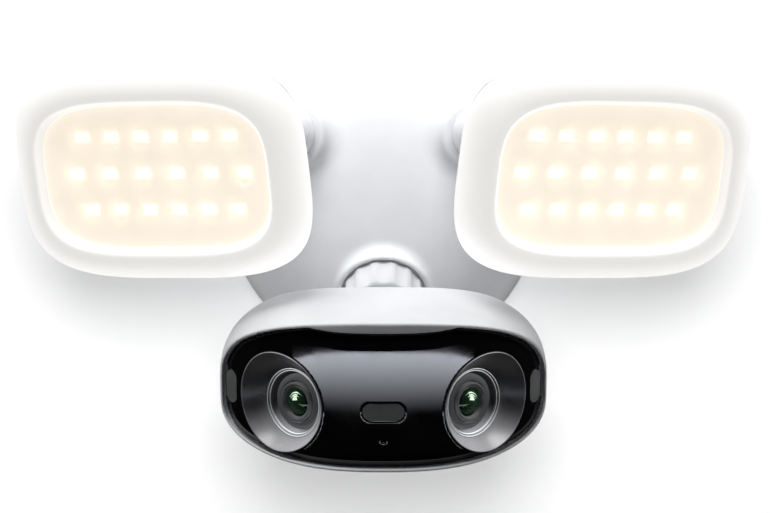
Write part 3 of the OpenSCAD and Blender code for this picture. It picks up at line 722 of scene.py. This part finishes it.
def lamp_bezel():
    """The wide convex rim, its inner wall and the ledge that holds the window."""
    rings = [lamp_ring(110.2, 70.2, -7.4), lamp_ring(122, 81, -7.4), lamp_ring(122, 81, 0.1)]
    rings += [lamp_ring(LAMP_W - 0.8, LAMP_H - 0.8, 0.1), lamp_ring(LAMP_W, LAMP_H, -0.3)]
    for t in np.linspace(0.03, 0.93, 18) * math.pi / 2:
        inset = 12.2 * (1 - math.cos(t)) ** 0.85
        w, h = LAMP_W - 2 * inset, LAMP_H - 2 * inset
        rings.append(lamp_ring(w, h, -RIM_DEPTH * math.sin(t)))
    for w, y in [(112.8, -14.15), (111.6, -14.0), (110.6, -13.6), (110.0, -13.0)]:
        rings.append(lamp_ring(w, w - 40.5, y))
    for w, y in [(106.8, -10.0), (106.2, -9.7), (106.0, -9.58), (110.2, -9.58)]:
        rings.append(lamp_ring(w, w - 41, y))
    return loft(rings, closed=True)


def lamp_back():
    """The rounded rear shell, hollow and open at the front."""
    outer, inner = [], []
    for t in np.linspace(0, 0.995, 26) * math.pi / 2:
        grow, y = math.cos(t) ** 0.55, BACK_DEPTH * math.sin(t) ** 0.95
        power = LAMP_N + 0.9 * (1 - grow) ** 0.5 - 1.2 * (1 - grow)
        outer.append(lamp_ring((LAMP_W - 2) * grow, (LAMP_H - 2) * grow, y + 0.2, power))
        inner.append(lamp_ring((LAMP_W - 7) * grow, (LAMP_H - 7) * grow, 0.85 * y + 0.2, power))
    return loft(inner[::-1] + outer)


def slab(outline, low, high, edge):
    """A flat plate from a convex outline in x and y, with rounded edges."""
    middle = outline.mean(0)
    rings = []
    for z, inset in [(low, edge), (low + edge * 0.3, edge * 0.3), (low + edge, 0),
                     (high - edge, 0), (high - edge * 0.3, edge * 0.3), (high, edge)]:
        away = outline - middle
        reach = np.linalg.norm(away, axis=-1, keepdims=True)
        flat = middle + away * (1 - inset / reach)
        rings.append(np.column_stack([flat, np.full(len(flat), z)]))
    return loft(rings)


def ear_outline():
    a = np.linspace(0, math.pi, 40)
    round_end = np.stack([LUG_R * np.cos(a), PIN_BACK + LUG_R * np.sin(a)], -1)
    return np.concatenate([round_end, [[-LUG_R, 14.5], [LUG_R, 14.5]]])


for name, side in SIDES.items():
    place = for_side(side, AT_LAMP)
    body = f"lamp_{name}"
    points, faces = lamp_bezel()
    add_mesh(f"rim_{name}", to_mm(place, points), faces, body, "lamp_rim", [f"lamp_bezel_{name}"])
    points, faces = lamp_back()
    add_mesh(
        f"lamp_back_{name}", to_mm(place, points), faces, body, "white_shell",
        [f"lamp_housing_{name}"],
    )
    for word, sign in (("upper", 1), ("lower", -1)):
        low = sign * (LUG_H / 2 + 0.4) - (EAR_T if sign < 0 else 0)
        points, faces = slab(ear_outline(), low, low + EAR_T, 0.8)
        add_mesh(f"ear_{word}_{name}", to_mm(place, points), faces, body, "white_shell")


# ---------------------------------------------------------------- stage
def stage_material(name, colour):
    """Matt white that can't be seen from behind, so that no view is blocked."""
    material, tree, shader = new_material(name)
    shader.inputs["Base Color"].default_value = (*colour, 1)
    shader.inputs["Roughness"].default_value = 1
    shader.inputs["Specular IOR Level"].default_value = 0
    shader.inputs["Emission Color"].default_value = (*colour, 1)
    direct = tree.nodes.new("ShaderNodeLightPath")
    level = tree.nodes.new("ShaderNodeMapRange")
    level.inputs["To Min"].default_value = 0.64
    level.inputs["To Max"].default_value = 0.45
    tree.links.new(direct.outputs["Is Camera Ray"], level.inputs["Value"])
    tree.links.new(level.outputs["Result"], shader.inputs["Emission Strength"])
    clear = tree.nodes.new("ShaderNodeBsdfTransparent")
    mix = tree.nodes.new("ShaderNodeMixShader")
    where = tree.nodes.new("ShaderNodeNewGeometry")
    tree.links.new(where.outputs["Backfacing"], mix.inputs["Fac"])
    tree.links.new(shader.outputs["BSDF"], mix.inputs[1])
    tree.links.new(clear.outputs["BSDF"], mix.inputs[2])
    tree.links.new(mix.outputs["Shader"], tree.nodes["Material Output"].inputs["Surface"])
    return material


def add_wall():
    """The wall that the base is fixed to."""
    points = [(-4, 0.0006, -4), (4, 0.0006, -4), (4, 0.0006, 4), (-4, 0.0006, 4)]
    mesh = bpy.data.meshes.new("wall")
    mesh.from_pydata(points, [], [(0, 1, 2, 3)])
    wall = bpy.data.objects.new("wall", mesh)
    mesh.materials.append(stage_material("wall_paint", (0.93, 0.93, 0.93)))
    bpy.context.collection.objects.link(wall)
    wall.visible_glossy = False
    wall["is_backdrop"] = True
    return wall


def add_light(name, place, aim, size, power, colour=(1, 1, 1), mirrored=False):
    """A soft box. Only the ones marked mirrored show in glossy surfaces."""
    data = bpy.data.lights.new(name, "AREA")
    data.shape = "RECTANGLE"
    data.size, data.size_y = size
    data.energy = power
    data.color = colour
    lamp = bpy.data.objects.new(name, data)
    lamp.location = place
    lamp.rotation_mode = "QUATERNION"
    lamp.rotation_quaternion = (Vector(aim) - Vector(place)).to_track_quat("-Z", "Y")
    lamp.visible_glossy = mirrored
    lamp.visible_camera = False
    bpy.context.collection.objects.link(lamp)
    lamp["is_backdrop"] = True
    return lamp


def add_reflection_card():
    """A lit strip placed where the camera sees it mirrored in the glossy face."""
    reach, count = 700.0, 60
    points, faces = [], []
    eye = np.array(CAMERA_PLACE) / MM
    for x in np.linspace(-CARD_X, CARD_X, count + 1):
        normal = np.array([math.copysign(face_slope(x), x), -1.0, 0.0])
        normal = np.array(AT_HEAD)[:3, :3] @ (normal / np.linalg.norm(normal))
        sag = CARD_RISE * (face_y(x) + FACE_FRONT) + CARD_SAG * (abs(x) / CARD_X) ** 5
        for z in (CARD_LOW, CARD_HIGH - sag):
            spot = to_mm(AT_HEAD, np.array([x, face_y(x) + 0.6, z]))
            ray = (spot - eye) / np.linalg.norm(spot - eye)
            ray -= 2 * (ray @ normal) * normal
            points.append((spot + reach * ray) * MM)
    for i in range(count):
        faces.append((2 * i, 2 * i + 1, 2 * i + 3, 2 * i + 2))
    mesh = bpy.data.meshes.new("reflection_card")
    mesh.from_pydata(points, [], faces)
    uv = mesh.uv_layers.new(name="level")
    for loop in mesh.loops:
        uv.data[loop.index].uv = (0, loop.vertex_index % 2)
    material = bpy.data.materials.new("reflection_card")
    material.use_nodes = True
    tree = material.node_tree
    tree.nodes.clear()
    level = tree.nodes.new("ShaderNodeUVMap")
    parts = tree.nodes.new("ShaderNodeSeparateXYZ")
    power = tree.nodes.new("ShaderNodeMath")
    power.operation = "POWER"
    power.inputs[1].default_value = 1.3
    gain = tree.nodes.new("ShaderNodeMath")
    gain.operation = "MULTIPLY"
    gain.inputs[1].default_value = 12.3
    light = tree.nodes.new("ShaderNodeEmission")
    light.inputs["Color"].default_value = (0.86, 0.90, 1.0, 1)
    out = tree.nodes.new("ShaderNodeOutputMaterial")
    tree.links.new(level.outputs["UV"], parts.inputs["Vector"])
    tree.links.new(parts.outputs["Y"], power.inputs[0])
    tree.links.new(power.outputs["Value"], gain.inputs[0])
    tree.links.new(gain.outputs["Value"], light.inputs["Strength"])
    tree.links.new(light.outputs["Emission"], out.inputs["Surface"])
    mesh.materials.append(material)
    card = bpy.data.objects.new("reflection_card", mesh)
    card.visible_camera = False
    card.visible_shadow = False
    card.visible_diffuse = False
    bpy.context.collection.objects.link(card)
    card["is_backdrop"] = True
    return card


def light_only(source, shown, shading=None):
    """Limit a light or lit card to some objects, and its shadows to those of others."""
    linking = source.light_linking
    linking.receiver_collection = bpy.data.collections.new(f"lit_by_{source.name}")
    for thing in shown:
        linking.receiver_collection.objects.link(thing)
    if shading:
        linking.blocker_collection = bpy.data.collections.new(f"shading_{source.name}")
        for thing in shading:
            linking.blocker_collection.objects.link(thing)


CAMERA_PLACE = (0.0007, -1.5, -0.026)
CARD_LOW, CARD_HIGH, CARD_X = -7.0, 21.2, 39.0
CARD_RISE, CARD_SAG = 0.325, 4.2  # the head's pitch as a slope, and the corners' drop
CENTRE = (0, 0, 0)
parts = [thing for thing in bpy.data.objects if thing.type == "MESH"]


def picked(*starts):
    """The pieces whose names start with any of the words given."""
    return [thing for thing in parts if thing.name.startswith(starts)]


def light_lenses(name, side):
    """Light one dish from above and outside, and put a glint in its glass."""
    glass = picked(f"front_lens_{name}")
    cup = picked(f"dish_{name}", f"lens_lip_{name}")
    inner = picked(f"lens_sleeve_{name}", f"bezel_ring_{name}")
    over, aim = (side * 0.75, -0.2, 1.15), (0, -0.12, -0.08)
    light_only(add_light(f"over_{name}", over, aim, (0.5, 0.5), 150), cup, glass)
    light_only(add_light(f"inner_{name}", over, aim, (0.5, 0.5), 14), inner, glass)
    beside = (side * 1.1, -0.2, 0.1)
    glint = add_light(f"glint_{name}", beside, aim, (0.6, 0.7), 16, mirrored=True)
    light_only(glint, glass, glass)


def light_stage():
    """The wall's own light, a key for each group of pieces, and weak fills all round."""
    wall = add_wall()
    light_only(add_light("wall_wash", (0, -1.9, 0.5), CENTRE, (1.0, 0.9), 28), [wall])
    head = picked("head_housing", "collar")
    lamps = picked("rim_", "lamp_back")
    base = picked("base_dome", "swivel_arm")
    rest = [thing for thing in parts if thing not in head + lamps]
    above, soft = (0.12, -0.95, 2.0), (1.5, 1.1)
    light_only(add_light("key_above", above, CENTRE, soft, 52, mirrored=True), rest)
    light_only(add_light("key_head", (-0.45, -0.95, 2.0), CENTRE, soft, 44), head)
    light_only(add_light("key_lamps", above, CENTRE, soft, 24, mirrored=True), lamps)
    light_only(add_light("key_base", (-0.9, -1.1, 1.8), CENTRE, (1.0, 1.0), 20), base, base)
    for name, side in SIDES.items():
        light_lenses(name, side)
    for name, place, size, power in (
        ("fill_left", (-1.7, -1.2, 0.3), (1.2, 1.6), 1.0),
        ("fill_right", (1.7, -1.2, 0.3), (1.2, 1.6), 1.6),
        ("fill_front", (0, -2.2, 0.1), (2.4, 1.6), 1.0),
    ):
        light_only(add_light(name, place, CENTRE, size, power), parts)
    glossy = picked("front_panel", "dish_", "bezel_ring", "front_lens")
    light_only(add_reflection_card(), glossy)


def add_world():
    """A white world to the camera, a weaker one to matt surfaces, black to glossy ones."""
    world = bpy.data.worlds.new("studio")
    bpy.context.scene.world = world
    world.use_nodes = True
    tree = world.node_tree
    rays = tree.nodes.new("ShaderNodeLightPath")
    shade = tree.nodes.new("ShaderNodeMapRange")
    shade.inputs["To Min"].default_value = 0.42
    shade.inputs["To Max"].default_value = 0.9
    matt = tree.nodes.new("ShaderNodeMath")
    matt.operation = "SUBTRACT"
    matt.use_clamp = True
    matt.inputs[0].default_value = 1.0
    fill = tree.nodes.new("ShaderNodeMath")
    fill.operation = "MULTIPLY"
    tree.links.new(rays.outputs["Is Camera Ray"], shade.inputs["Value"])
    tree.links.new(rays.outputs["Is Glossy Ray"], matt.inputs[1])
    tree.links.new(matt.outputs["Value"], fill.inputs[0])
    tree.links.new(shade.outputs["Result"], fill.inputs[1])
    tree.links.new(fill.outputs["Value"], tree.nodes["Background"].inputs["Strength"])


def add_camera():
    camera_data = bpy.data.cameras.new("camera")
    camera_data.sensor_width = 36
    camera_data.lens = 148.16
    camera = bpy.data.objects.new("camera", camera_data)
    camera.location = CAMERA_PLACE
    camera.rotation_euler = (math.radians(90), 0, 0)
    bpy.context.collection.objects.link(camera)
    bpy.context.scene.camera = camera


light_stage()
add_world()
add_camera()
bpy.context.scene.view_settings.view_transform = "Standard"

low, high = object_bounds()
